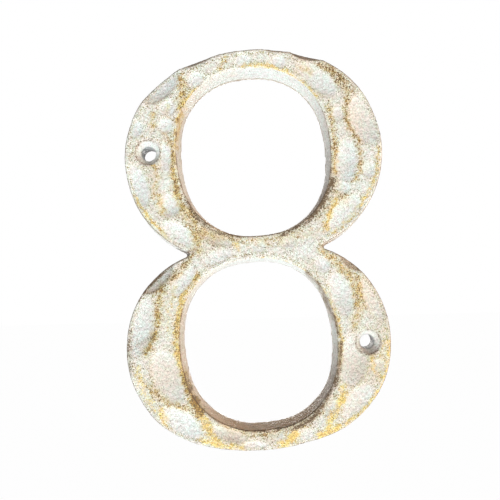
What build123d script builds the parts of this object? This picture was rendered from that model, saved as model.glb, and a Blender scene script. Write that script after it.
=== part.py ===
from build123d import *
from math import acos, cos, degrees, radians, sin, sqrt, tan
import os

# Cast iron house number: the digit 8 as one iron casting, in millimetres.
# It is drawn lying down, with x to the right, y up the number and z out of its face:
# the back is at z = 0 and the origin is the middle of the waist.
# At the end it is stood up, with +Z up the number, the face towards -Y and the back on y = 0.

# The casting
THICKNESS = 7.0
DRAFT_ANGLE = 7.0        # degrees: every wall leans in towards the face, to leave the sand
NOTCH_RADIUS = 0.9       # rounds the sharp notch on each side of the waist
OVERCUT = 1.0            # how far a cutting tool runs past what it cuts

# Outside of the two bowls, measured on the face
UPPER_WIDTH = 81.6
UPPER_HEIGHT = 66.8
UPPER_LEAN = 4.7         # degrees anticlockwise
UPPER_REACH = 4.25       # the upper bowl runs this far below the middle of the waist
LOWER_WIDTH = 83.8
LOWER_HEIGHT = 66.2
LOWER_LEAN = 3.5
LOWER_REACH = 1.95       # the lower bowl runs this far above the middle of the waist

# Strokes of the digit, measured on the face between a bowl's outside and its hole
TOP_STROKE = 6.0
UPPER_SIDE_STROKE = 16.45
WAIST_STROKE = 7.3
LOWER_SIDE_STROKE = 17.05
FOOT_STROKE = 6.5
HOLE_LEAN = 4.4

# Shape of each oval: its corner radius as a share of the smaller half size, then how far
# its sides and its ends bow out past the corner circles, as shares of the half sizes
UPPER_SHAPE = (0.93, 0.002, 0.055)
LOWER_SHAPE = (0.92, 0.001, 0.054)
HOLE_SHAPE = (0.89, 0.021, 0.003)

# Countersunk screw holes, one in each thick side stroke
SCREW_BORE = 4.3
SCREW_SINK = 8.1
SCREW_SINK_ANGLE = 90.0
SCREW_INSET = 7.3        # from the outside of the bowl to the middle of the hole
UPPER_SCREW_CLOCK = 177.0
LOWER_SCREW_CLOCK = 0.4

# Gouges that hollow the face: each one's radius across the cut and its radius along it
BROAD_ACROSS = 8.5
BROAD_ALONG = 32.0
NARROW_ACROSS = 5.0
NARROW_ALONG = 28.0
WIDE_ACROSS = 12.0
WIDE_ALONG = 32.0
FLAT_ACROSS = 14.0
FLAT_ALONG = 45.0
SPOON_ACROSS = 10.0
SPOON_ALONG = 22.0
SHORT_ACROSS = 7.0
SHORT_ALONG = 16.0
BALL_RADIUS = 9.0
HOLLOW_DEPTH = 1.0       # the depths of the hollows are shares of this
TIPPED_REACH = 4.0       # a tipped gouge stays clear for this far past its lowest point

BROAD = (BROAD_ACROSS, BROAD_ALONG)
NARROW = (NARROW_ACROSS, NARROW_ALONG)
WIDE = (WIDE_ACROSS, WIDE_ALONG)
FLAT = (FLAT_ACROSS, FLAT_ALONG)
SPOON = (SPOON_ACROSS, SPOON_ALONG)
SHORT = (SHORT_ACROSS, SHORT_ALONG)
BALL = (BALL_RADIUS, BALL_RADIUS)


class Oval:
    """An oval of eight tangent arcs, drawn round its own middle and then leaned."""

    def __init__(self, middle_y, width, height, lean, shape):
        roundness, side_bow, end_bow = shape[0], shape[1] * width / 2, shape[2] * height / 2
        radius = roundness * min(width, height) / 2
        corner = Vector(width / 2 - side_bow - radius, height / 2 - end_bow - radius)
        side_radius = radius + side_bow / 2 + corner.Y**2 / (2 * side_bow)
        end_radius = radius + end_bow / 2 + corner.X**2 / (2 * end_bow)
        side_middle = Vector(width / 2 - side_radius, 0)
        end_middle = Vector(0, height / 2 - end_radius)
        self.middle = Vector(0, middle_y)
        self.lean = lean
        self.side = Vector(width / 2, 0)
        self.end = Vector(0, height / 2)
        self.side_join = corner + (corner - side_middle).normalized() * radius
        self.end_join = corner + (corner - end_middle).normalized() * radius
        outward = (self.side_join - corner) + (self.end_join - corner)
        self.corner = corner + outward.normalized() * radius
        self.arcs = [(side_middle, side_radius), (corner, radius), (end_middle, end_radius)]

    def sketch(self):
        """The oval, filled, in its place on the number."""
        quarter = [self.side, self.side_join, self.corner, self.end_join]
        stations = quarter + [self.end]
        stations += [Vector(-spot.X, spot.Y) for spot in reversed(quarter)]
        stations += [Vector(-spot.X, -spot.Y) for spot in quarter[1:]]
        stations += [-self.end]
        stations += [Vector(spot.X, -spot.Y) for spot in reversed(quarter[1:])]
        stations = stations[-1:] + stations[:-1]
        ring = stations + stations[:1]
        outline = [ThreePointArc(*ring[start:start + 3]) for start in range(0, len(stations), 2)]
        return Pos(*self.middle) * Rotation(0, 0, self.lean) * make_face(outline)

    def point(self, clock, inset=0.0):
        """Point on the outline at an angle in degrees from +x, or inset towards the middle."""
        turned = radians(clock - self.lean)
        ray = Vector(abs(cos(turned)), abs(sin(turned)))
        middle, radius = self.arcs[1]
        if ray.Y * self.side_join.X < ray.X * self.side_join.Y:
            middle, radius = self.arcs[0]
        if ray.Y * self.end_join.X > ray.X * self.end_join.Y:
            middle, radius = self.arcs[2]
        along = ray.dot(middle)
        reach = along + sqrt(along**2 + radius**2 - middle.dot(middle)) - inset
        return self.middle + Vector(cos(radians(clock)), sin(radians(clock))) * reach


def bowl_outsides():
    """Outsides of the upper and the lower bowl."""
    upper_y = UPPER_HEIGHT / 2 - UPPER_REACH
    lower_y = LOWER_REACH - LOWER_HEIGHT / 2
    upper = Oval(upper_y, UPPER_WIDTH, UPPER_HEIGHT, UPPER_LEAN, UPPER_SHAPE)
    lower = Oval(lower_y, LOWER_WIDTH, LOWER_HEIGHT, LOWER_LEAN, LOWER_SHAPE)
    return upper, lower


def bowl_holes():
    """Holes of the upper and the lower bowl, set by the strokes round them."""
    top = UPPER_HEIGHT - UPPER_REACH - TOP_STROKE
    foot = LOWER_REACH - LOWER_HEIGHT + FOOT_STROKE
    waist = WAIST_STROKE / 2
    upper_width = UPPER_WIDTH - 2 * UPPER_SIDE_STROKE
    lower_width = LOWER_WIDTH - 2 * LOWER_SIDE_STROKE
    upper = Oval((top + waist) / 2, upper_width, top - waist, HOLE_LEAN, HOLE_SHAPE)
    lower = Oval((foot - waist) / 2, lower_width, -waist - foot, HOLE_LEAN, HOLE_SHAPE)
    return upper, lower


OUTSIDES = bowl_outsides()
HOLES = bowl_holes()
UPPER, LOWER = 0, 1

# Hollows in the face, each one given by the bowl, the clock angle in degrees, the share of
# the stroke from the hole's edge to the outside, the gouge, its share of HOLLOW_DEPTH, the
# turn of the cut away from the run of the stroke and its tip towards the outside in degrees
HOLLOWS = [
    (UPPER, 141, 0.78, SPOON, 1.25, 0, 13),
    (UPPER, 115, 0.98, FLAT, 0.8, 0, 38),
    (UPPER, 79, 0.98, FLAT, 0.6, 0, 38),
    (UPPER, 64, 0.95, SHORT, 1.3, 0, 40),
    (UPPER, 127, 0.28, BALL, 0.5, 0, 0),
    (UPPER, 95, 0.40, BALL, 0.4, 0, 0),
    (UPPER, 73, 0.40, BALL, 0.35, 0, 0),
    (UPPER, 48, 0.40, BROAD, 1.0, 0, 0),
    (UPPER, 23, 0.32, BALL, 0.35, 0, 0),
    (UPPER, 16, 0.74, WIDE, 1.2, 0, 3),
    (UPPER, 353, 0.29, BROAD, 0.9, 0, 0),
    (UPPER, 351, 0.77, BALL, 0.4, 0, 0),
    (UPPER, 338, 0.34, BALL, 0.4, 0, 0),
    (UPPER, 325, 0.71, WIDE, 0.9, 0, 0),
    (UPPER, 290, 0.45, BALL, 0.35, 0, 0),
    (UPPER, 245, 0.28, NARROW, 0.6, 0, 0),
    (UPPER, 227, 0.74, BROAD, 0.8, 0, 0),
    (UPPER, 210, 0.40, BALL, 0.9, 0, 0),
    (UPPER, 194, 0.83, WIDE, 1.0, 0, 6),
    (UPPER, 181, 0.21, NARROW, 0.5, 0, 0),
    (UPPER, 166, 0.90, BALL, 0.6, 0, 0),
    (UPPER, 161, 0.26, BALL, 0.4, 0, 0),
    (UPPER, 151, 0.38, BALL, 0.5, 0, 0),
    (LOWER, 143, 0.85, SPOON, 1.1, 0, 25),
    (LOWER, 139, 0.37, BROAD, 0.5, 0, 0),
    (LOWER, 169, 0.74, FLAT, 1.2, 0, 5),
    (LOWER, 198, 0.31, FLAT, 1.0, 0, 0),
    (LOWER, 203, 0.88, FLAT, 0.5, 0, 10),
    (LOWER, 225, 0.66, WIDE, 1.0, 0, 3),
    (LOWER, 250, 0.30, NARROW, 0.7, 0, 0),
    (LOWER, 266, 0.80, NARROW, 0.5, 0, 0),
    (LOWER, 280, 0.22, BALL, 0.4, 0, 0),
    (LOWER, 295, 0.79, BALL, 0.85, 0, 0),
    (LOWER, 318, 0.22, BALL, 0.5, 0, 0),
    (LOWER, 328, 0.73, WIDE, 0.9, 0, 3),
    (LOWER, 350, 0.30, FLAT, 0.9, 0, 0),
    (LOWER, 349, 0.80, BALL, 0.35, 0, 0),
    (LOWER, 30, 0.31, BROAD, 0.9, -15, 0),
    (LOWER, 21, 0.85, FLAT, 0.9, 0, 10),
    (LOWER, 43, 0.95, SHORT, 0.9, 0, 32),
    (LOWER, 50, 0.48, BALL, 0.4, 0, 0),
    (LOWER, 89, 0.75, BALL, 0.35, 0, 0),
    (LOWER, 113, 0.50, BROAD, 0.4, 0, 0),
]


def casting_blank():
    """The flat-faced casting: two fused bowls with rounded notches, open holes and draft."""
    digit = OUTSIDES[0].sketch() + OUTSIDES[1].sketch()
    swollen = offset(digit, amount=NOTCH_RADIUS, kind=Kind.ARC)
    digit = offset(swollen, amount=-NOTCH_RADIUS, kind=Kind.ARC)
    for oval in HOLES:
        digit -= oval.sketch()
    return extrude(Pos(0, 0, THICKNESS) * digit, amount=-THICKNESS, taper=-DRAFT_ANGLE)


def gouge_tip(gouge, rise):
    """The end of a gouge, lowest at the origin and sweeping up along y to a height of rise."""
    across_radius, along_radius = gouge
    if along_radius == across_radius:
        return Pos(0, 0, across_radius) * Rotation(90, 0, 0) * Sphere(across_radius)
    half_width = sqrt(2 * across_radius * rise - rise**2)
    nose = ThreePointArc((-half_width, rise), (0, 0), (half_width, rise))
    blade = Plane.XZ * make_face([nose, Line((half_width, rise), (-half_width, rise))])
    swing = degrees(acos(1 - rise / along_radius))
    pivot = Axis((0, 0, along_radius), (1, 0, 0))
    return revolve(blade, pivot, 2 * swing).rotate(pivot, -swing)


def hollow(bowl, clock, share, gouge, depth_share, turn, tip):
    """The metal that one stroke of a gouge takes out of the face."""
    inner = HOLES[bowl].point(clock)
    place = inner + (OUTSIDES[bowl].point(clock) - inner) * share
    depth = depth_share * HOLLOW_DEPTH
    rise = depth + OVERCUT + TIPPED_REACH * sin(radians(tip))
    spot = Pos(place.X, place.Y, THICKNESS - depth) * Rotation(0, 0, clock)
    return spot * Rotation(0, tip, 0) * Rotation(0, 0, turn) * gouge_tip(gouge, rise)


def screw_hole(bowl, clock):
    """One clearance bore with its countersink, to be cut out of the casting."""
    place = OUTSIDES[bowl].point(clock, SCREW_INSET)
    slope = tan(radians(SCREW_SINK_ANGLE / 2))
    mouth = SCREW_SINK / 2 + OVERCUT * slope
    height = (mouth - SCREW_BORE / 2) / slope
    bore = Pos(0, 0, THICKNESS / 2) * Cylinder(SCREW_BORE / 2, THICKNESS + 2 * OVERCUT)
    sink = Pos(0, 0, THICKNESS + OVERCUT - height / 2) * Cone(SCREW_BORE / 2, mouth, height)
    return Pos(place.X, place.Y) * (bore + sink)


def house_number():
    """The finished number, lying on its back."""
    casting = casting_blank()
    for cut in HOLLOWS:
        casting -= hollow(*cut)
    casting -= screw_hole(UPPER, UPPER_SCREW_CLOCK)
    casting -= screw_hole(LOWER, LOWER_SCREW_CLOCK)
    return casting


standing = Plane.XZ.location * house_number()
os.makedirs("parts", exist_ok=True)
export_step(standing, "parts/house_number.step")
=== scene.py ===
from math import radians

import bpy
import numpy as np
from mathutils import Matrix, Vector
from mathutils.kdtree import KDTree


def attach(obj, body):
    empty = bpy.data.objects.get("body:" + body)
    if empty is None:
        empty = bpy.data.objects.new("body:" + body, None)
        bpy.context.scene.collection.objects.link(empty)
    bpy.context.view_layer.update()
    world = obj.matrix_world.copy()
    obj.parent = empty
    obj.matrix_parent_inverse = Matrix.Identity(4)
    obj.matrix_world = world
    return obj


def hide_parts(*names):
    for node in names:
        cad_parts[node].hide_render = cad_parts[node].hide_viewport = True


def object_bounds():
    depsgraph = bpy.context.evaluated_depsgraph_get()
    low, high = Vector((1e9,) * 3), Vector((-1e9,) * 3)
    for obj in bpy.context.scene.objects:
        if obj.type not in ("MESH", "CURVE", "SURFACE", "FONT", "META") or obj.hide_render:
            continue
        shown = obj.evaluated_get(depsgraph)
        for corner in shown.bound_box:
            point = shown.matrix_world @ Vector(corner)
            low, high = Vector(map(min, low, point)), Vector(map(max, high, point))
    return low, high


bl_info = {
    "name": "Hammered House Number",
    "version": (1, 0, 0),
    "blender": (4, 5, 0),
    "location": "3D View > Sidebar > House Number",
    "description": "A cast iron house number with a hammered face, off-white paint and rubbed gold",
    "category": "Add Mesh",
}

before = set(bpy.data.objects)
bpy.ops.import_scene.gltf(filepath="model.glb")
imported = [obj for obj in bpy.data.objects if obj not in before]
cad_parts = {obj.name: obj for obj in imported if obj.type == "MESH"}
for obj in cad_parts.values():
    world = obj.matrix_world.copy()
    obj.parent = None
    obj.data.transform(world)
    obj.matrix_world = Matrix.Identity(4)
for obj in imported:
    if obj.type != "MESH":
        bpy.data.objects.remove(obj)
CAD_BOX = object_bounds()
MM = 0.001

# Gold rubbed on by hand: the line of each rub in millimetres, x across and z up, then its
# half width in millimetres, how thick the gold lies and how bright it is, from 0 to 1, the
# brightness painting in part the light and shade on the gold. Gold thicker than 1 is smeared
# over the edge of the face as well
GOLD_RUBS = [
    # Upper bowl, left side
    ([(-22.0, 54.0), (-21.5, 50.0), (-22.5, 47.0)], 1.3, 0.85, 0.3),
    ([(-31.5, 43.0), (-31.5, 38.5)], 1.0, 0.7, 0.4),
    ([(-26.5, 45.5), (-27.0, 42.5)], 0.8, 0.55, 0.8),
    ([(-28.0, 37.0), (-26.5, 33.5)], 0.9, 0.6, 0.2),
    ([(-17.0, 50.5), (-19.8, 48.3), (-21.9, 45.0)], 0.8, 0.9, 0.6),
    ([(-22.3, 50.0), (-22.2, 45.0), (-23.6, 39.0), (-24.8, 32.5)], 0.8, 1.05, 0.55),
    ([(-24.8, 33.0), (-25.4, 24.5), (-24.5, 17.0), (-22.0, 10.0)], 1.3, 0.9, 0.35),
    ([(-31.5, 27.0), (-30.5, 22.0), (-32.0, 17.0)], 0.9, 0.6, 0.5),
    ([(-30.0, 17.0), (-29.0, 11.5)], 1.0, 0.75, 0.4),
    ([(-38.0, 17.0), (-34.0, 10.5), (-28.5, 4.5)], 0.7, 0.6, 0.9),
    ([(-20.5, 12.0), (-19.0, 6.0), (-18.5, -0.5)], 1.9, 0.85, 0.3),
    # Upper bowl, top and right side
    ([(-8.0, 60.0), (-10.0, 56.5)], 1.0, 0.5, 0.4),
    ([(-2.0, 57.5), (5.4, 57.2), (12.4, 54.2), (17.0, 50.3), (20.4, 46.7)], 0.8, 0.75, 1.0),
    ([(16.0, 56.5), (19.0, 55.0)], 0.9, 0.7, 0.3),
    ([(22.5, 57.0), (27.0, 54.0), (30.5, 48.0)], 1.8, 0.8, 0.0),
    ([(24.2, 44.6), (25.2, 38.0), (25.8, 31.0)], 1.0, 0.55, 0.4),
    ([(25.8, 31.0), (25.4, 22.5)], 1.2, 0.75, 0.3),
    ([(24.5, 21.0), (25.5, 17.0), (28.5, 14.0)], 2.2, 0.5, 0.1),
    ([(23.5, 14.5), (20.0, 9.5)], 2.2, 0.5, 0.0),
    ([(30.5, 47.5), (29.0, 42.5), (30.0, 38.0), (33.0, 34.0)], 0.9, 0.7, 0.2),
    ([(33.0, 34.0), (34.0, 28.0), (33.5, 23.0), (32.0, 20.0)], 0.8, 0.65, 0.3),
    ([(39.5, 30.0), (39.0, 23.0), (36.0, 16.5)], 0.7, 0.55, 0.6),
    ([(26.0, 14.5), (24.0, 11.0), (22.0, 5.0)], 1.0, 0.85, 0.7),
    ([(36.0, 16.5), (31.0, 9.5), (25.0, 4.0)], 0.7, 0.6, 0.8),
    # Waist
    ([(-17.0, 6.5), (-6.0, 3.0), (4.0, 1.5), (12.0, 3.0), (21.0, 5.5)], 2.0, 0.35, 0.4),
    # Dull gold over the facet left of the waist: painted shade there
    ([(-17.5, 5.5), (-13.0, 4.2), (-8.0, 3.7)], 1.9, 0.85, 0.1),
    ([(-7.0, 1.5), (-5.5, 0.0)], 0.8, 0.7, 0.9),
    # Lower bowl, left side
    ([(-18.5, -8.5), (-21.0, -12.0)], 1.0, 0.8, 0.5),
    ([(-23.0, -14.0), (-25.0, -21.0)], 1.3, 0.85, 0.7),
    ([(-25.0, -21.0), (-25.8, -29.0), (-24.6, -37.0)], 1.4, 1.0, 0.6),
    ([(-28.3, -17.5), (-28.0, -26.0)], 2.2, 0.35, 0.7),
    ([(-19.6, -0.8), (-23.8, -7.3), (-27.4, -9.8)], 1.2, 0.65, 0.0),
    ([(-24.2, -39.5), (-23.0, -43.0), (-21.4, -46.8), (-19.9, -50.5)], 1.2, 1.8, 0.25),
    ([(-26.0, -12.0), (-27.5, -18.0)], 0.9, 0.6, 0.5),
    ([(-30.0, -11.5), (-31.5, -19.0), (-32.0, -25.0), (-35.5, -32.0)], 1.6, 0.8, 0.3),
    ([(-36.0, -43.0), (-29.0, -48.5), (-19.0, -51.5)], 1.4, 0.6, 0.3),
    ([(-38.5, -37.0), (-37.0, -44.0), (-34.0, -50.0)], 1.0, 0.6, 0.8),
    ([(-31.5, -50.5), (-30.0, -55.0)], 1.1, 0.7, 0.9),
    ([(-20.8, -47.5), (-19.0, -52.0)], 1.2, 2.8, 0.1),
    ([(-18.8, -52.6), (-17.0, -56.0), (-14.4, -61.5)], 1.3, 1.15, 0.75),
    ([(-20.0, -60.0), (-12.0, -62.5), (-6.0, -63.0)], 0.9, 0.75, 0.9),
    # Lower bowl, foot and right side
    ([(-12.0, -55.5), (-8.0, -57.5), (4.0, -58.5), (14.0, -56.5)], 1.9, 0.45, 0.2),
    ([(12.0, -57.0), (18.5, -53.0), (24.0, -47.5)], 1.3, 0.5, 0.0),
    ([(6.8, -62.8), (10.8, -59.5)], 1.5, 1.2, 0.9),
    ([(18.7, -60.3), (24.1, -57.8)], 1.3, 1.2, 0.9),
    ([(26.3, -45.0), (26.1, -48.0), (22.2, -54.7), (20.2, -60.2)], 1.2, 1.0, 0.9),
    ([(26.5, -57.0), (33.0, -52.5), (38.5, -45.5), (40.9, -37.0), (41.2, -31.0)], 0.7, 0.8, 1.0),
    ([(35.5, -35.0), (36.5, -40.5)], 0.7, 0.7, 0.8),
    ([(38.8, -31.5), (38.8, -37.0), (37.2, -42.0)], 1.5, 0.3, 0.8),
    ([(21.0, -1.5), (27.0, -7.5)], 1.4, 0.6, 0.5),
    ([(27.0, -7.5), (31.5, -12.0), (32.0, -20.0), (30.5, -25.0)], 1.6, 0.75, 0.4),
    ([(2.0, -4.0), (12.0, -6.5), (19.0, -11.5), (24.0, -21.0)], 0.8, 0.8, 0.7),
    ([(24.0, -21.0), (25.9, -29.0), (25.8, -38.0)], 0.9, 0.8, 0.6),
]

# Dark smears along the edges of the holes and in one crease, dirt and painted shade: the line of each
# smear in millimetres, its half width in millimetres and how dark it is, from 0 to 1
DIRT_AND_SHADE_SMEARS = [
    ([(-21.5, 16.0), (-18.8, 10.2), (-13.0, 5.2), (-5.0, 3.5)], 0.7, 0.65),
    ([(24.8, 20.5), (20.6, 12.8), (16.0, 7.8)], 1.1, 0.95),
    ([(16.0, 7.8), (8.6, 3.7)], 0.8, 0.7),
    ([(-21.5, -1.0), (-27.3, -4.7), (-31.2, -8.4), (-35.1, -12.0), (-37.8, -15.8)], 0.5, 0.9),
    ([(26.0, -31.0), (25.4, -38.0)], 0.7, 0.75),
    ([(25.4, -38.0), (23.2, -44.6)], 1.0, 0.9),
    ([(23.2, -44.6), (20.0, -50.2), (15.6, -55.1), (10.4, -57.5)], 0.7, 0.8),
    ([(15.7, -8.3), (19.6, -12.3), (21.9, -17.4), (24.6, -24.5), (25.2, -28.6)], 0.5, 0.8),
    ([(10.4, -57.5), (0.4, -58.1), (-6.7, -56.4), (-12.5, -53.9)], 0.5, 0.4),
    ([(-23.4, -41.0), (-20.6, -48.0)], 0.6, 0.5),
    ([(-41.3, -31.5), (-37.5, -29.4), (-33.0, -27.0)], 0.6, 0.35),
    ([(-40.8, -26.0), (-41.2, -31.0), (-40.4, -38.0)], 0.9, 0.4),
]

# Warm cream patches on the paint, in part yellowed paint and in part painted warm shade: middle in
# millimetres, radius and strength
CREAM_PATCHES = [
    ((-27.5, -39.0), 8.0, 0.9),
    ((-33.0, -20.0), 5.0, 0.4),
    ((32.5, -39.0), 7.5, 1.0),
    ((29.5, -19.0), 5.0, 0.35),
    ((38.0, -14.0), 9.0, 0.75),
    ((40.0, -29.0), 6.0, 0.7),
    ((34.0, 41.0), 9.0, 0.7),
    ((17.5, 58.5), 5.0, 0.7),
    ((31.0, -50.0), 7.0, 0.5),
    ((-7.0, -58.5), 7.0, 1.0),
    ((12.0, -56.5), 7.0, 0.6),
    ((2.0, -60.0), 4.0, 0.6),
    ((-12.0, 4.0), 5.0, 0.8),
    ((17.0, -61.0), 4.0, 0.4),
]

# Middles of the two screw holes in millimetres, how far the clean paint of their countersinks
# reaches from there, and the radius of their bores
SCREW_HOLES = ((-33.36, 30.90), (34.60, -30.91))
SINK_RADIUS = 3.75
BORE_RADIUS = 2.15

BOWL_MIDDLES = (31.0, -30.0)  # heights of the middles of the two bowls, in millimetres
BACK_EDGE = 1.4  # width of the worn band along the edge of the back, in millimetres
OUTER_EDGE = 0.6  # width of the dark line along the outer edge, in millimetres
GOLD_SPILL = 4.3  # how deep the smeared gold runs down a wall, in millimetres
GOLD_SWAY = 0.35  # how far a rub strays from its line, in millimetres
RIDGE_SMOOTHING = 40  # rounds of smoothing that flatten the ridges and keep the broad shape

# The lamps: name, the direction in which each stands, and its colour
LAMPS = (
    ("key", (-0.22, -0.55, -0.80), (0.90, 0.98, 1.0)),
    ("fill", (1.0, -0.20, 0.05), (1.0, 0.80, 0.60)),
    ("front", (0.0, -1.0, 0.1), (0.82, 0.96, 1.0)),
    ("back", (0.0, 1.0, 0.0), (1.0, 0.98, 0.95)),
)
FLOOR_SIZE = 8.0  # metres
FLOOR_GREY = 0.85
FLOOR_WHITE = 0.985  # share of plain white in the floor that is seen, the rest keeps the shadow


class CastingSettings(bpy.types.PropertyGroup):
    """Sizes of the casting's skin."""

    mesh_size: bpy.props.FloatProperty(
        name="Mesh Size", description="Edge length of the even mesh laid over the casting",
        default=0.42 * MM, unit="LENGTH", precision=5)
    softening: bpy.props.IntProperty(
        name="Softening", description="How often the mesh is smoothed, which rounds the ridges",
        default=2, min=0)
    back_softening: bpy.props.IntProperty(
        name="Back Softening", description="How often the edge of the back is smoothed after that",
        default=8, min=0)
    lump_size: bpy.props.FloatProperty(
        name="Lump Size", description="Width of the soft lumps that the sand mould leaves",
        default=3.0 * MM, unit="LENGTH", precision=5)
    lump_depth: bpy.props.FloatProperty(
        name="Lump Depth", description="Depth of the soft lumps",
        default=0.12 * MM, unit="LENGTH", precision=5)
    grain_size: bpy.props.FloatProperty(
        name="Grain Size", description="Width of the sand grain in the casting",
        default=0.8 * MM, unit="LENGTH", precision=5)
    grain_depth: bpy.props.FloatProperty(
        name="Grain Depth", description="Depth of the sand grain",
        default=0.10 * MM, unit="LENGTH", precision=5)


class PaintSettings(bpy.types.PropertyGroup):
    """Sizes and colours of the paint, the gold, the dirt, the dark grains and the painted shade."""

    gold_grain: bpy.props.FloatProperty(
        name="Gold Grain", description="Width of the grains of gold and of dirt",
        default=0.32 * MM, unit="LENGTH", precision=5)
    patch_size: bpy.props.FloatProperty(
        name="Patch Size", description="Width of the patches in which gold and dirt lie thicker",
        default=1.8 * MM, unit="LENGTH", precision=5)
    yellow_size: bpy.props.FloatProperty(
        name="Yellow Size", description="Width of the places where the paint has yellowed",
        default=7.0 * MM, unit="LENGTH", precision=5)
    wrinkle_size: bpy.props.FloatProperty(
        name="Wrinkle Size", description="Width of the wrinkles of the paint",
        default=0.9 * MM, unit="LENGTH", precision=5)
    wrinkle_depth: bpy.props.FloatProperty(
        name="Wrinkle Depth", description="Depth of the wrinkles of the paint",
        default=0.40 * MM, unit="LENGTH", precision=5)
    paint: bpy.props.FloatVectorProperty(
        name="Paint", description="The off-white paint", subtype="COLOR",
        default=(0.96, 0.96, 0.96), min=0, max=1)
    # Painted shade: the paint in the hollows is laid darker and bluer than on the ridges
    shaded_hollow_paint: bpy.props.FloatVectorProperty(
        name="Hollow Paint", description="The paint in the hollows, duller than on the ridges",
        subtype="COLOR", default=(0.89, 0.91, 0.93), min=0, max=1)
    warm_paint: bpy.props.FloatVectorProperty(
        name="Warm Paint", description="The paint where it has yellowed", subtype="COLOR",
        default=(0.84, 0.745, 0.67), min=0, max=1)
    wrinkle: bpy.props.FloatVectorProperty(
        name="Wrinkles", description="The fine wrinkles of the paint", subtype="COLOR",
        default=(0.40, 0.37, 0.31), min=0, max=1)
    pore: bpy.props.FloatVectorProperty(
        name="Pores", description="Shade of the finest pores in the paint", subtype="COLOR",
        default=(0.50, 0.47, 0.38), min=0, max=1)
    warm_tint: bpy.props.FloatVectorProperty(
        name="Warm Tint", description="Colour cast of the redder patches", subtype="COLOR",
        default=(1.0, 0.93, 0.91), min=0, max=1)
    cool_tint: bpy.props.FloatVectorProperty(
        name="Cool Tint", description="Colour cast of the greener patches", subtype="COLOR",
        default=(0.96, 1.0, 0.94), min=0, max=1)
    gold: bpy.props.FloatVectorProperty(
        name="Gold", description="The rubbed gold", subtype="COLOR",
        default=(0.86, 0.64, 0.24), min=0, max=1)
    # Dull gold: in part tarnish, in part painted shade on the gold
    dull_and_shaded_gold: bpy.props.FloatVectorProperty(
        name="Old Gold", description="The gold where it has gone dull", subtype="COLOR",
        default=(0.36, 0.21, 0.06), min=0, max=1)
    faint_gold: bpy.props.FloatVectorProperty(
        name="Faint Gold", description="The few grains of gold on the open ridges", subtype="COLOR",
        default=(0.52, 0.46, 0.22), min=0, max=1)
    wash: bpy.props.FloatVectorProperty(
        name="Gold Wash", description="Paint under a thin bright wash of gold", subtype="COLOR",
        default=(0.80, 0.66, 0.30), min=0, max=1)
    # Dull wash: in part tarnish, in part painted shade on the gold
    dull_and_shaded_wash: bpy.props.FloatVectorProperty(
        name="Old Wash", description="Paint under a thin dull wash of gold", subtype="COLOR",
        default=(0.68, 0.54, 0.27), min=0, max=1)
    # Brown of the rims: wear and dirt, and painted shade on the rounded edges and in the crease
    rim: bpy.props.FloatVectorProperty(
        name="Rims", description="Brown paint worn along the rims", subtype="COLOR",
        default=(0.34, 0.22, 0.11), min=0, max=1)
    # Dark line along the outer edge: dirt and painted shade
    edge: bpy.props.FloatVectorProperty(
        name="Outer Edge", description="Dark line worn along the outer edge", subtype="COLOR",
        default=(0.10, 0.09, 0.07), min=0, max=1)
    # Painted shade: the grey laid in the bores and on the downward side of the countersinks
    hole_shade: bpy.props.FloatVectorProperty(
        name="Screw Holes", description="Grey of the bores, where the paint hardly reaches",
        subtype="COLOR", default=(0.24, 0.25, 0.26), min=0, max=1)
    # Painted shade: the brown laid on what faces up, away from the key light from below
    upward_shade: bpy.props.FloatVectorProperty(
        name="Dust", description="Brown dust on what faces upwards", subtype="COLOR",
        default=(0.62, 0.36, 0.14), min=0, max=1)
    # The dark grains in the gold and on the rims
    speck: bpy.props.FloatVectorProperty(
        name="Specks", description="Dark dirt in the grain and on the rims", subtype="COLOR",
        default=(0.13, 0.08, 0.04), min=0, max=1)


class StageSettings(bpy.types.PropertyGroup):
    """Camera, lamps and floor."""

    camera_foot: bpy.props.FloatVectorProperty(
        name="Camera Foot", description="Where the camera looks straight at the face, across and up",
        default=(-1.54 * MM, -12.66 * MM), size=2, unit="LENGTH", precision=5)
    camera_distance: bpy.props.FloatProperty(
        name="Camera Distance", description="From the wall to the camera",
        default=147 * MM, unit="LENGTH", precision=4)
    camera_roll: bpy.props.FloatProperty(
        name="Camera Roll", description="Turn of the camera about its line of sight",
        default=radians(1.63), subtype="ANGLE")
    camera_shift: bpy.props.FloatVectorProperty(
        name="Camera Shift", description="Shift of the picture as a share of its width, across and up",
        default=(-0.0046, 0.075), size=2, precision=4)
    focal_length: bpy.props.FloatProperty(
        name="Focal Length", description="Focal length of the camera in millimetres",
        default=31.98, min=1)
    key_strength: bpy.props.FloatProperty(
        name="Key Light", description="Strength of the cool light from below",
        default=3.58, min=0)
    fill_strength: bpy.props.FloatProperty(
        name="Fill Light", description="Strength of the warm light from the right",
        default=2.6, min=0)
    front_strength: bpy.props.FloatProperty(
        name="Front Light", description="Strength of the light from the camera's side",
        default=0.58, min=0)
    back_strength: bpy.props.FloatProperty(
        name="Back Light", description="Strength of the light on the back of the number",
        default=2.4, min=0)
    lamp_spread: bpy.props.FloatProperty(
        name="Lamp Spread", description="How wide each lamp is as seen from the number",
        default=radians(30), subtype="ANGLE")
    sky_strength: bpy.props.FloatProperty(
        name="Sky", description="Level of the light from all round", default=0.19, min=0)
    sky_colour: bpy.props.FloatVectorProperty(
        name="Sky Colour", description="Colour of the light from all round", subtype="COLOR",
        default=(1.0, 0.92, 0.90), min=0, max=1)
    floor_drop: bpy.props.FloatProperty(
        name="Floor Drop", description="How far the floor lies below the foot of the number",
        default=0.24, unit="LENGTH")


def deselect_all():
    """Leaves nothing selected, so that the next operator acts on one thing alone."""
    bpy.ops.object.select_all(action="DESELECT")


def make_active(thing):
    """Selects one object alone and makes it the active one."""
    deselect_all()
    thing.select_set(True)
    bpy.context.view_layer.objects.active = thing


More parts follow.
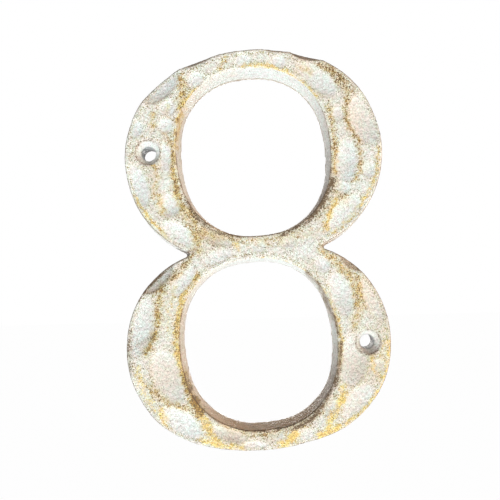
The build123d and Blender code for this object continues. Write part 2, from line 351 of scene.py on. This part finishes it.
def apply_modifier(thing, name, kind, **settings):
    """Adds one modifier with its settings and applies it."""
    make_active(thing)
    modifier = thing.modifiers.new(name, kind)
    for setting, value in settings.items():
        setattr(modifier, setting, value)
    bpy.ops.object.modifier_apply(modifier=modifier.name)


def cloud_texture(name, size, depth):
    """A soft procedural cloud texture for a displacement."""
    texture = bpy.data.textures.new(name, "CLOUDS")
    texture.noise_scale = size
    texture.noise_depth = depth
    return texture


def vertex_places(thing):
    """The places of an object's vertices as an array of three columns."""
    places = np.empty(len(thing.data.vertices) * 3)
    thing.data.vertices.foreach_get("co", places)
    return places.reshape(-1, 3)


def vertex_normals(thing):
    """The normals of an object's vertices as an array of three columns."""
    normals = np.empty(len(thing.data.vertices) * 3)
    thing.data.vertex_normals.foreach_get("vector", normals)
    return normals.reshape(-1, 3)


def keep_in_box(thing, box):
    """Moves back whatever stands out of a box, which keeps the back of the casting flat."""
    places = np.clip(vertex_places(thing), box[0], box[1])
    thing.data.vertices.foreach_set("co", places.ravel())
    thing.data.update()


def store_mask(thing, name, values):
    """Writes one value for each vertex, which a material reads by name."""
    attribute = thing.data.attributes.new(name, "FLOAT", "POINT")
    attribute.data.foreach_set("value", np.ascontiguousarray(values, dtype=np.float32))


def fade(values, low, high):
    """How far values have come from low to high, from 0 to 1."""
    return np.clip((values - low) / (high - low), 0, 1)


def near_line(places, line, half_width):
    """1 on a line drawn on the face, falling softly to 0 past its half width."""
    flat = places[:, (0, 2)] / MM
    nearest = np.full(len(flat), np.inf)
    for start, end in zip(line, line[1:]):
        start, run = np.array(start), np.array(end) - np.array(start)
        share = np.clip((flat - start) @ run / max(run @ run, 1e-9), 0, 1)
        reach = flat - start - share[:, None] * run
        nearest = np.minimum(nearest, (reach**2).sum(axis=1))
    return np.exp(-nearest / half_width**2)


def wander(places):
    """The places shifted a little to and fro, so that no rub runs as straight as it is drawn."""
    x, z = places[:, 0] / MM, places[:, 2] / MM
    sway = np.zeros_like(places)
    sway[:, 0] = np.sin(1.9 * z + 1.7 * np.sin(0.9 * x)) + 0.5 * np.sin(4.3 * z - 2.9 * x)
    sway[:, 2] = np.sin(1.7 * x + 1.5 * np.sin(1.1 * z)) + 0.5 * np.sin(3.9 * x + 3.1 * z)
    return places + GOLD_SWAY * MM * sway


def nearest_of(places, targets):
    """How far each place lies from its nearest target, in millimetres, and which one it is."""
    tree = KDTree(len(targets))
    for number, target in enumerate(targets):
        tree.insert(target, number)
    tree.balance()
    found = [tree.find(place) for place in places]
    return np.array([gap for _, _, gap in found]) / MM, np.array([which for _, which, _ in found])


def ridge_height(thing):
    """How far each vertex stands out past a smoothed copy of the casting, in millimetres."""
    smooth = thing.copy()
    smooth.data = thing.data.copy()
    bpy.context.scene.collection.objects.link(smooth)
    apply_modifier(smooth, "smoothed", "SMOOTH", factor=1.0, iterations=RIDGE_SMOOTHING)
    lift = vertex_places(thing) - vertex_places(smooth)
    bpy.data.objects.remove(smooth)
    return (lift * vertex_normals(thing)).sum(axis=1) / MM


def from_screw_holes(places):
    """How far each place lies from the middle of the nearer screw hole, in millimetres."""
    flat = places[:, (0, 2)] / MM
    return np.min([np.linalg.norm(flat - middle, axis=1) for middle in SCREW_HOLES], axis=0)


def faces_bowl(places, normals):
    """Where the casting faces into one of its two bowls."""
    middle = np.where(places[:, 2] > 0, BOWL_MIDDLES[0], BOWL_MIDDLES[1]) * MM
    return places[:, 0] * normals[:, 0] + (places[:, 2] - middle) * normals[:, 2] < 0


def rim_wear_and_shade_mask(places, normals, sunk, in_bowl):
    """Brown wear, dirt and painted shade on the edges of the face, round the countersinks and in the
    smears.
    """
    facing = -normals[:, 1]
    # Darker where the face turns into a wall, wear and painted shade on the rounded edge, and in a
    # bowl hardly at all where it faces down, towards the key light
    rim = np.clip(1.8 - 1.8 * np.abs(facing - 0.5) / 0.42, 0, 1)
    rim *= np.where(in_bowl, np.clip(1 + 1.6 * normals[:, 2], 0.1, 1), 1)
    rim *= fade(sunk, SINK_RADIUS, SINK_RADIUS + 1)
    # A thin ring just outside the clean paint of each countersink
    ring = 0.65 * np.exp(-((sunk - SINK_RADIUS - 0.1) / 0.3)**2) * (facing > 0.5)
    rim = np.maximum(rim, ring)
    for line, half_width, strength in DIRT_AND_SHADE_SMEARS:
        smear = strength * near_line(places, line, half_width) * (facing > 0.05)
        rim = np.maximum(rim, smear)
    return rim


def outer_edge_dirt_and_shade(places, normals, wall):
    """The dark line along the outer edge of the face, dirt and painted shade, darkest where the edge
    faces up and to the left.
    """
    gap, nearest = nearest_of(places, places[wall])
    side = normals[wall][nearest]
    # Painted shade: darker the more the edge faces up and to the left
    shaded = np.clip(0.35 - 0.30 * side[:, 0] + 0.45 * side[:, 2], 0, 1)
    return fade(gap, OUTER_EDGE, OUTER_EDGE / 2) * shaded * (-normals[:, 1] > 0.2)


def rubbed_and_bright(places, face, over_edge):
    """How thick the gold of all the rubs lies, and how bright it is."""
    rubbed, bright = np.zeros(len(places)), np.zeros(len(places))
    swaying = wander(places)
    for line, half_width, strength, brightness in GOLD_RUBS:
        rub = strength * near_line(swaying, line, half_width)
        rub *= face if strength <= 1 else over_edge
        bright = np.where(rub > rubbed, brightness, bright)
        rubbed = np.maximum(rubbed, rub)
    return rubbed, bright


def cream_cover(places):
    """How cream the paint is, from all the patches."""
    cream = np.zeros(len(places))
    for middle, radius, strength in CREAM_PATCHES:
        cream = np.maximum(cream, strength * near_line(places, [middle, middle], radius))
    return cream


class NUMBER_OT_casting(bpy.types.Operator):
    """Make the skin of the iron casting: even mesh, softened ridges, sand lumps and grain"""

    bl_idname = "house_number.casting"
    bl_label = "Cast the Number"

    def execute(self, context):
        settings = context.scene.casting_settings
        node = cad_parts["house_number"]
        number = bpy.data.objects.new("cast_number", node.data.copy())
        context.scene.collection.objects.link(number)
        number.data.materials.clear()
        make_active(number)
        bpy.ops.object.mode_set(mode="EDIT")
        bpy.ops.mesh.select_all(action="SELECT")
        bpy.ops.mesh.remove_doubles(threshold=0.001 * MM)
        bpy.ops.object.mode_set(mode="OBJECT")
        apply_modifier(number, "even mesh", "REMESH", mode="VOXEL", voxel_size=settings.mesh_size)
        apply_modifier(number, "softened", "SMOOTH", factor=0.5, iterations=settings.softening)
        self.soften_back_edge(number, settings.back_softening)
        store_mask(number, "ridge", ridge_height(number))
        self.store_wear(number)
        lumps = cloud_texture("sand lumps", settings.lump_size, 1)
        apply_modifier(number, "lumps", "DISPLACE", texture=lumps, texture_coords="LOCAL",
                       strength=settings.lump_depth, mid_level=1.0)
        grain = cloud_texture("sand grain", settings.grain_size, 2)
        apply_modifier(number, "grain", "DISPLACE", texture=grain, texture_coords="LOCAL",
                       strength=settings.grain_depth, mid_level=1.0)
        keep_in_box(number, CAD_BOX)
        bpy.ops.object.shade_smooth()
        number.data.materials.append(painted_iron(context.scene.paint_settings))
        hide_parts("house_number")
        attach(number, "root")
        return {"FINISHED"}

    def soften_back_edge(self, number, rounds):
        """Smooths the edge between the walls and the back, which the even mesh leaves ragged."""
        places, normals = vertex_places(number), vertex_normals(number)
        near = np.flatnonzero((places[:, 1] > -1.2 * MM) & (normals[:, 1] < 0.97))
        number.vertex_groups.new(name="back edge").add(near.tolist(), 1.0, "REPLACE")
        apply_modifier(number, "soft back edge", "SMOOTH", factor=0.5, iterations=rounds,
                       vertex_group="back edge")

    def store_wear(self, number):
        """Stores where the paint is worn or cream, where shade is painted, and where the gold and the
        dirt lie.
        """
        places, normals = vertex_places(number), vertex_normals(number)
        facing, upward = -normals[:, 1], normals[:, 2]
        sunk = from_screw_holes(places)
        clean = fade(sunk, SINK_RADIUS, SINK_RADIUS + 0.5)
        face = fade(facing, 0.35, 0.65) * clean
        in_bowl = faces_bowl(places, normals)
        outer_wall = (facing < 0.45) & ~in_bowl & (sunk > SINK_RADIUS + 1)
        back_edge = fade(places[:, 1] / MM, -BACK_EDGE, -BACK_EDGE + 0.5) * (normals[:, 1] < 0.7)
        # Painted shade in the screw holes: a little on the countersinks where they face down, much in
        # the bores
        sink_shade = (1 - clean) * fade(upward, 0.5, -0.5)
        bore_shade = fade(sunk, BORE_RADIUS + 0.25, BORE_RADIUS)
        depth = (places[:, 1] - CAD_BOX[0].y) / MM
        over_edge = np.maximum(face, fade(depth, GOLD_SPILL, GOLD_SPILL - 1)) * clean
        rubbed, bright = rubbed_and_bright(places, face, over_edge)
        for name, values in (
            ("facing", face),
            ("rim", rim_wear_and_shade_mask(places, normals, sunk, in_bowl)),
            ("back_edge", back_edge),
            ("outline", outer_edge_dirt_and_shade(places, normals, outer_wall)),
            # Painted shade on what faces up, weaker in the countersinks
            ("upward", np.clip(upward - 0.2, 0, 1) * (0.3 + 0.7 * clean)),
            # Painted shade in the screw holes
            ("sunk", 0.12 * sink_shade + 0.65 * bore_shade),
            ("rubbed", rubbed),
            ("bright", bright),
            ("cream", cream_cover(places)),
        ):
            store_mask(number, name, values)


def add_node(tree, kind, place, **inputs):
    """Adds one shader node and sets its unlinked inputs by name."""
    node = tree.nodes.new(kind)
    node.location = place
    for name, value in inputs.items():
        node.inputs[name.replace("_", " ")].default_value = value
    return node


def grain_noise(tree, place, size, detail):
    """A noise node on object coordinates whose lumps are about size across."""
    coordinates = add_node(tree, "ShaderNodeTexCoord", (place[0] - 200, place[1]))
    noise = add_node(tree, "ShaderNodeTexNoise", place, Scale=1 / size, Detail=detail)
    tree.links.new(coordinates.outputs["Object"], noise.inputs["Vector"])
    return noise.outputs["Fac"]


def feed(tree, socket, setting):
    """Links a socket to another one, or sets it to a number."""
    if isinstance(setting, bpy.types.NodeSocket):
        tree.links.new(setting, socket)
    else:
        socket.default_value = setting


def ramp(tree, place, value, low, high):
    """Maps value from low to high onto 0 to 1, smoothly and clamped."""
    node = add_node(tree, "ShaderNodeMapRange", place)
    node.interpolation_type = "SMOOTHSTEP"
    for name, setting in (("Value", value), ("From Min", low), ("From Max", high)):
        feed(tree, node.inputs[name], setting)
    return node.outputs["Result"]


def combine(tree, place, operation, *settings):
    """One Math node on sockets or numbers."""
    node = add_node(tree, "ShaderNodeMath", place)
    node.operation = operation
    for socket, setting in zip(node.inputs, settings):
        feed(tree, socket, setting)
    return node.outputs["Value"]


def mix_colour(tree, place, share, first, second, blend="MIX"):
    """Mixes two colours, each a socket or a plain colour, by a share from 0 to 1."""
    node = add_node(tree, "ShaderNodeMix", place)
    node.data_type = "RGBA"
    node.blend_type = blend
    feed(tree, node.inputs["Factor"], share)
    colours = [socket for socket in node.inputs if socket.type == "RGBA"]
    for socket, setting in zip(colours, (first, second)):
        plain = not isinstance(setting, bpy.types.NodeSocket)
        feed(tree, socket, (*setting, 1) if plain else setting)
    return [socket for socket in node.outputs if socket.type == "RGBA"][0]


def attribute(tree, place, name):
    """The value of one of the casting's masks."""
    node = add_node(tree, "ShaderNodeAttribute", place)
    node.attribute_name = name
    return node.outputs["Fac"]


def speckle(tree, place, cover, size):
    """Grains about size across that cover the share of the surface given by cover."""
    noise = grain_noise(tree, place, size, 1)
    # Nearly all of the noise lies between 0.32 and 0.70, and what lies above low is a grain
    low = combine(tree, (place[0] + 200, place[1] + 150), "MULTIPLY_ADD", cover, -0.38, 0.70)
    high = combine(tree, (place[0] + 400, place[1] + 150), "ADD", low, 0.03)
    return ramp(tree, (place[0] + 600, place[1]), noise, low, high)


def wear_masks(tree, finish):
    """The masks that the paint, the gold, the dirt and the painted shade share."""
    wear = {}
    for row, name in enumerate(("facing", "ridge", "rubbed", "rim", "bright", "back_edge",
                                "outline", "upward", "sunk", "cream")):
        wear[name] = attribute(tree, (-3800, 1400 - 200 * row), name)
    land = ramp(tree, (-3600, 1200), wear["ridge"], -0.03, 0.05)
    wear["land"] = combine(tree, (-3400, 1200), "MULTIPLY", land, wear["facing"])
    # A crest stands out further than the land round it, but less than the edges of the face
    above_land = ramp(tree, (-3600, 1600), wear["ridge"], 0.05, 0.12)
    below_edges = ramp(tree, (-3600, 1400), wear["ridge"], 0.28, 0.15)
    crest = combine(tree, (-3400, 1600), "MULTIPLY", above_land, below_edges)
    wear["crest"] = combine(tree, (-3200, 1600), "MULTIPLY", crest, wear["facing"])
    patches = grain_noise(tree, (-3400, 800), finish.patch_size, 2)
    patches = ramp(tree, (-3200, 800), patches, 0.30, 0.62)
    patches = combine(tree, (-3000, 800), "MULTIPLY_ADD", patches, 0.5, 0.5)
    wear["rubbed"] = combine(tree, (-2800, 800), "MULTIPLY", patches, wear["rubbed"])
    wear["rim"] = combine(tree, (-2800, 600), "MULTIPLY", patches, wear["rim"])
    wear["back_line"] = combine(tree, (-2800, 400), "MULTIPLY", patches, wear["back_edge"])
    return wear


def old_paint(tree, finish, wear, wrinkles):
    """Off-white paint, darker in the hollows as painted shade, yellowed, wrinkled, and with brown
    painted shade where it faces up.
    """
    # Painted shade in the hollows: darker, bluer paint off the land
    paint = mix_colour(tree, (-1600, 0), wear["land"], finish.shaded_hollow_paint, finish.paint)
    yellow = grain_noise(tree, (-2200, -200), finish.yellow_size, 2)
    yellow = ramp(tree, (-2000, -200), yellow, 0.45, 0.95)
    yellow = combine(tree, (-1800, -200), "MAXIMUM", yellow, wear["cream"])
    paint = mix_colour(tree, (-1400, 0), yellow, paint, finish.warm_paint)
    # A wrinkle runs wherever the noise crosses its middle
    fold = combine(tree, (-2200, -500), "SUBTRACT", wrinkles, 0.5)
    fold = combine(tree, (-2000, -500), "ABSOLUTE", fold)
    fold = ramp(tree, (-1800, -500), fold, 0.045, 0.0)
    fold = combine(tree, (-1600, -500), "MULTIPLY", fold, 0.5)
    paint = mix_colour(tree, (-1200, 0), fold, paint, finish.wrinkle)
    # Painted shade: brown on what faces up
    up_shading = combine(tree, (-1400, -700), "MULTIPLY", wear["upward"], 1.05)
    return mix_colour(tree, (-1000, 0), up_shading, paint, finish.upward_shade)


def gold_wash(tree, finish, wear, paint):
    """A thin wash of gold in the paint, under the grains."""
    wash = mix_colour(tree, (-1200, 400), wear["bright"], finish.dull_and_shaded_wash, finish.wash)
    washed = combine(tree, (-1400, 200), "MULTIPLY", wear["rubbed"], 0.9)
    washed = combine(tree, (-1200, 200), "MULTIPLY_ADD", wear["land"], 0.07, washed)
    return mix_colour(tree, (-800, 0), washed, paint, wash)


def gold_cover(tree, wear):
    """The share of the surface that grains of gold cover."""
    cover = combine(tree, (-2600, 1200), "MULTIPLY", wear["rubbed"], 0.60)
    cover = combine(tree, (-2400, 1200), "MULTIPLY_ADD", wear["land"], 0.17, cover)
    return combine(tree, (-2200, 1200), "MULTIPLY_ADD", wear["crest"], 0.20, cover)


def rubbed_gold(tree, finish, wear):
    """The colour of the gold, bright or dull by its rub and grain, and faint on open ridges; the dull
    gold is in part painted shade.
    """
    shade = grain_noise(tree, (-2000, 700), 0.45 * MM, 2)
    shade = combine(tree, (-1800, 700), "MULTIPLY_ADD", shade, 3.0, -1.5)
    shade = combine(tree, (-1600, 700), "ADD", wear["bright"], shade)
    shade = ramp(tree, (-1400, 700), shade, 0.0, 1.0)
    gold = mix_colour(tree, (-1200, 700), shade, finish.dull_and_shaded_gold, finish.gold)
    rich = ramp(tree, (-1200, 900), wear["rubbed"], 0.05, 0.35)
    return mix_colour(tree, (-1000, 700), rich, finish.faint_gold, gold)


def mottled(tree, finish, wear, colour):
    """The colour with redder and greener patches and with fine pores."""
    tint = ramp(tree, (-800, 400), grain_noise(tree, (-1000, 400), 1.2 * MM, 2), 0.38, 0.62)
    tint = mix_colour(tree, (-600, 400), tint, finish.warm_tint, finish.cool_tint)
    colour = mix_colour(tree, (-200, 0), 1.0, colour, tint, "MULTIPLY")
    pores = ramp(tree, (-800, 1200), grain_noise(tree, (-1000, 1200), 0.34 * MM, 1), 0.55, 0.35)
    depth = combine(tree, (-800, 1400), "MULTIPLY_ADD", wear["land"], 0.35, 0.35)
    pores = combine(tree, (-600, 1200), "MULTIPLY", pores, depth)
    pores = mix_colour(tree, (-400, 1200), pores, (1, 1, 1), finish.pore)
    return mix_colour(tree, (0, 0), 1.0, colour, pores, "MULTIPLY")


def dark_edges(tree, finish, wear, colour):
    """The colour with the worn line along the back edge, the line of dirt and painted shade along the
    outer edge of the face, and grey painted shade in the screw holes.
    """
    back_line = combine(tree, (0, -300), "MULTIPLY", wear["back_line"], 0.8)
    colour = mix_colour(tree, (200, 0), back_line, colour, finish.rim)
    # Dirt and painted shade along the outer edge
    outline = combine(tree, (200, -300), "MULTIPLY", wear["outline"], 0.85)
    colour = mix_colour(tree, (400, 0), outline, colour, finish.edge)
    return mix_colour(tree, (600, 0), wear["sunk"], colour, finish.hole_shade)


def dark_specks(tree, finish, wear, cover):
    """Dark grains in the dull gold, on the ridges, on the rims and along the back edge."""
    dull = combine(tree, (-2600, -1000), "MULTIPLY_ADD", wear["bright"], -0.52, 0.56)
    thick = combine(tree, (-2600, -1200), "MINIMUM", cover, 0.75)
    specked = combine(tree, (-2400, -1000), "MULTIPLY", dull, thick)
    specked = combine(tree, (-2200, -1000), "MULTIPLY_ADD", wear["land"], 0.05, specked)
    rims = combine(tree, (-2600, -1400), "MULTIPLY", wear["rim"], 0.8)
    back = combine(tree, (-2600, -1600), "MULTIPLY", wear["back_edge"], 0.2)
    rims = combine(tree, (-2400, -1400), "MAXIMUM", rims, back)
    specked = combine(tree, (-2000, -1000), "ADD", specked, rims)
    specked = combine(tree, (-1800, -1000), "MAXIMUM", specked, 0.04)
    return speckle(tree, (-1600, -1000), specked, finish.gold_grain)


def painted_iron(finish):
    """Off-white paint over sand-cast iron, with gold rubbed on the ridges."""
    material = bpy.data.materials.new("painted_iron")
    material.use_nodes = True
    tree = material.node_tree
    shader = tree.nodes["Principled BSDF"]
    shader.location = (1000, 0)
    tree.nodes["Material Output"].location = (1300, 0)
    wear = wear_masks(tree, finish)
    wrinkles = grain_noise(tree, (-2600, -500), finish.wrinkle_size, 4)
    cover = gold_cover(tree, wear)
    grains = speckle(tree, (-2000, 1100), cover, finish.gold_grain)
    colour = old_paint(tree, finish, wear, wrinkles)
    colour = gold_wash(tree, finish, wear, colour)
    colour = mix_colour(tree, (-600, 0), wear["rim"], colour, finish.rim)
    gold = rubbed_gold(tree, finish, wear)
    colour = mix_colour(tree, (-400, 0), grains, colour, gold)
    colour = mottled(tree, finish, wear, colour)
    colour = dark_edges(tree, finish, wear, colour)
    specks = dark_specks(tree, finish, wear, cover)
    colour = mix_colour(tree, (800, 0), specks, colour, finish.speck)
    tree.links.new(colour, shader.inputs["Base Color"])
    metal = combine(tree, (800, 300), "MULTIPLY", grains, 0.4)
    tree.links.new(metal, shader.inputs["Metallic"])
    shader.inputs["Roughness"].default_value = 0.5
    bump = add_node(tree, "ShaderNodeBump", (800, -300), Strength=1.0,
                    Distance=finish.wrinkle_depth)
    tree.links.new(wrinkles, bump.inputs["Height"])
    tree.links.new(bump.outputs["Normal"], shader.inputs["Normal"])
    return material


def add_sun(name, direction, strength, spread, colour):
    """Adds one soft sun that shines from a direction, evenly over the whole number."""
    deselect_all()
    bpy.ops.object.light_add(type="SUN", location=Vector(direction).normalized() * 0.5)
    sun = bpy.context.object
    sun.name = name
    sun.rotation_euler = Vector(direction).to_track_quat("Z", "Y").to_euler()
    sun.data.energy = strength
    sun.data.angle = spread
    sun.data.color = colour


def seen_mask(tree, place):
    """1 for rays from the camera, mirrors and glass, 0 for the light that falls on things."""
    path = add_node(tree, "ShaderNodeLightPath", place)
    seen = combine(tree, (place[0] + 200, place[1]), "MAXIMUM",
                   path.outputs["Is Camera Ray"], path.outputs["Is Glossy Ray"])
    return combine(tree, (place[0] + 400, place[1]), "MAXIMUM",
                   seen, path.outputs["Is Transmission Ray"])


class NUMBER_OT_stage(bpy.types.Operator):
    """Set the camera, the lamps, the white background and the floor"""

    bl_idname = "house_number.stage"
    bl_label = "Set the Stage"

    def execute(self, context):
        settings = context.scene.stage_settings
        self.place_camera(context, settings)
        for name, direction, colour in LAMPS:
            strength = getattr(settings, name + "_strength")
            add_sun(name, direction, strength, settings.lamp_spread, colour)
        self.paint_background(context, settings)
        self.lay_floor(settings)
        context.scene.view_settings.view_transform = "Standard"
        return {"FINISHED"}

    def place_camera(self, context, settings):
        """Puts the camera where the photograph was taken from."""
        across, up = settings.camera_foot
        deselect_all()
        bpy.ops.object.camera_add(location=(across, -settings.camera_distance, up),
                                  rotation=(radians(90), settings.camera_roll, 0))
        camera = context.object
        camera.name = "camera"
        camera.data.lens = settings.focal_length
        camera.data.sensor_width = 36
        camera.data.shift_x, camera.data.shift_y = settings.camera_shift
        camera.data.clip_start = 0.005
        context.scene.camera = camera

    def paint_background(self, context, settings):
        """White where it is seen, and a plainer light where it only lights the number."""
        world = bpy.data.worlds.new("studio")
        context.scene.world = world
        world.use_nodes = True
        tree = world.node_tree
        tree.nodes.clear()
        lit = add_node(tree, "ShaderNodeBackground", (0, 0), Strength=settings.sky_strength)
        lit.inputs["Color"].default_value = (*settings.sky_colour, 1)
        white = add_node(tree, "ShaderNodeBackground", (0, -200), Strength=1.0)
        white.inputs["Color"].default_value = (1, 1, 1, 1)
        mix = add_node(tree, "ShaderNodeMixShader", (200, 0))
        output = add_node(tree, "ShaderNodeOutputWorld", (400, 0))
        tree.links.new(seen_mask(tree, (-800, 200)), mix.inputs["Fac"])
        tree.links.new(lit.outputs["Background"], mix.inputs[1])
        tree.links.new(white.outputs["Background"], mix.inputs[2])
        tree.links.new(mix.outputs["Shader"], output.inputs["Surface"])

    def lay_floor(self, settings):
        """A pale floor below the number, white where it is seen, that keeps a faint shadow."""
        deselect_all()
        height = CAD_BOX[0].z - settings.floor_drop
        bpy.ops.mesh.primitive_plane_add(size=FLOOR_SIZE, location=(0, 0, height))
        floor = bpy.context.object
        floor.name = "floor"
        floor.visible_shadow = False  # the key light comes from below and passes through it
        material = bpy.data.materials.new("pale_floor")
        material.use_nodes = True
        tree = material.node_tree
        shader = tree.nodes["Principled BSDF"]
        shader.inputs["Base Color"].default_value = (FLOOR_GREY, FLOOR_GREY, FLOOR_GREY, 1)
        shader.inputs["Roughness"].default_value = 0.9
        glow = add_node(tree, "ShaderNodeEmission", (0, -300), Strength=1.0)
        mix = add_node(tree, "ShaderNodeMixShader", (300, 0))
        seen = seen_mask(tree, (-800, 300))
        share = combine(tree, (-100, 300), "MULTIPLY", seen, FLOOR_WHITE)
        tree.links.new(share, mix.inputs["Fac"])
        tree.links.new(shader.outputs["BSDF"], mix.inputs[1])
        tree.links.new(glow.outputs["Emission"], mix.inputs[2])
        tree.links.new(mix.outputs["Shader"], tree.nodes["Material Output"].inputs["Surface"])
        floor.data.materials.append(material)


class NUMBER_PT_panel(bpy.types.Panel):
    """Sizes, colours and steps of the house number"""

    bl_idname = "NUMBER_PT_panel"
    bl_label = "House Number"
    bl_space_type = "VIEW_3D"
    bl_region_type = "UI"
    bl_category = "House Number"

    def draw(self, context):
        scene = context.scene
        for settings, operator in (
            (scene.casting_settings, NUMBER_OT_casting),
            (scene.paint_settings, None),
            (scene.stage_settings, NUMBER_OT_stage),
        ):
            box = self.layout.box()
            for name in settings.__annotations__:
                box.prop(settings, name)
            if operator is not None:
                box.operator(operator.bl_idname)


CLASSES = (
    CastingSettings,
    PaintSettings,
    StageSettings,
    NUMBER_OT_casting,
    NUMBER_OT_stage,
    NUMBER_PT_panel,
)


def register():
    """Makes the settings, the operators and the panel known to Blender."""
    for made in CLASSES:
        bpy.utils.register_class(made)
    scene = bpy.types.Scene
    scene.casting_settings = bpy.props.PointerProperty(type=CastingSettings)
    scene.paint_settings = bpy.props.PointerProperty(type=PaintSettings)
    scene.stage_settings = bpy.props.PointerProperty(type=StageSettings)


def unregister():
    """Takes the settings, the operators and the panel away again."""
    scene = bpy.types.Scene
    del scene.stage_settings
    del scene.paint_settings
    del scene.casting_settings
    for made in reversed(CLASSES):
        bpy.utils.unregister_class(made)


def main():
    """Builds the number and its stage."""
    register()
    bpy.ops.house_number.casting()
    bpy.ops.house_number.stage()


if __name__ == "__main__":
    main()
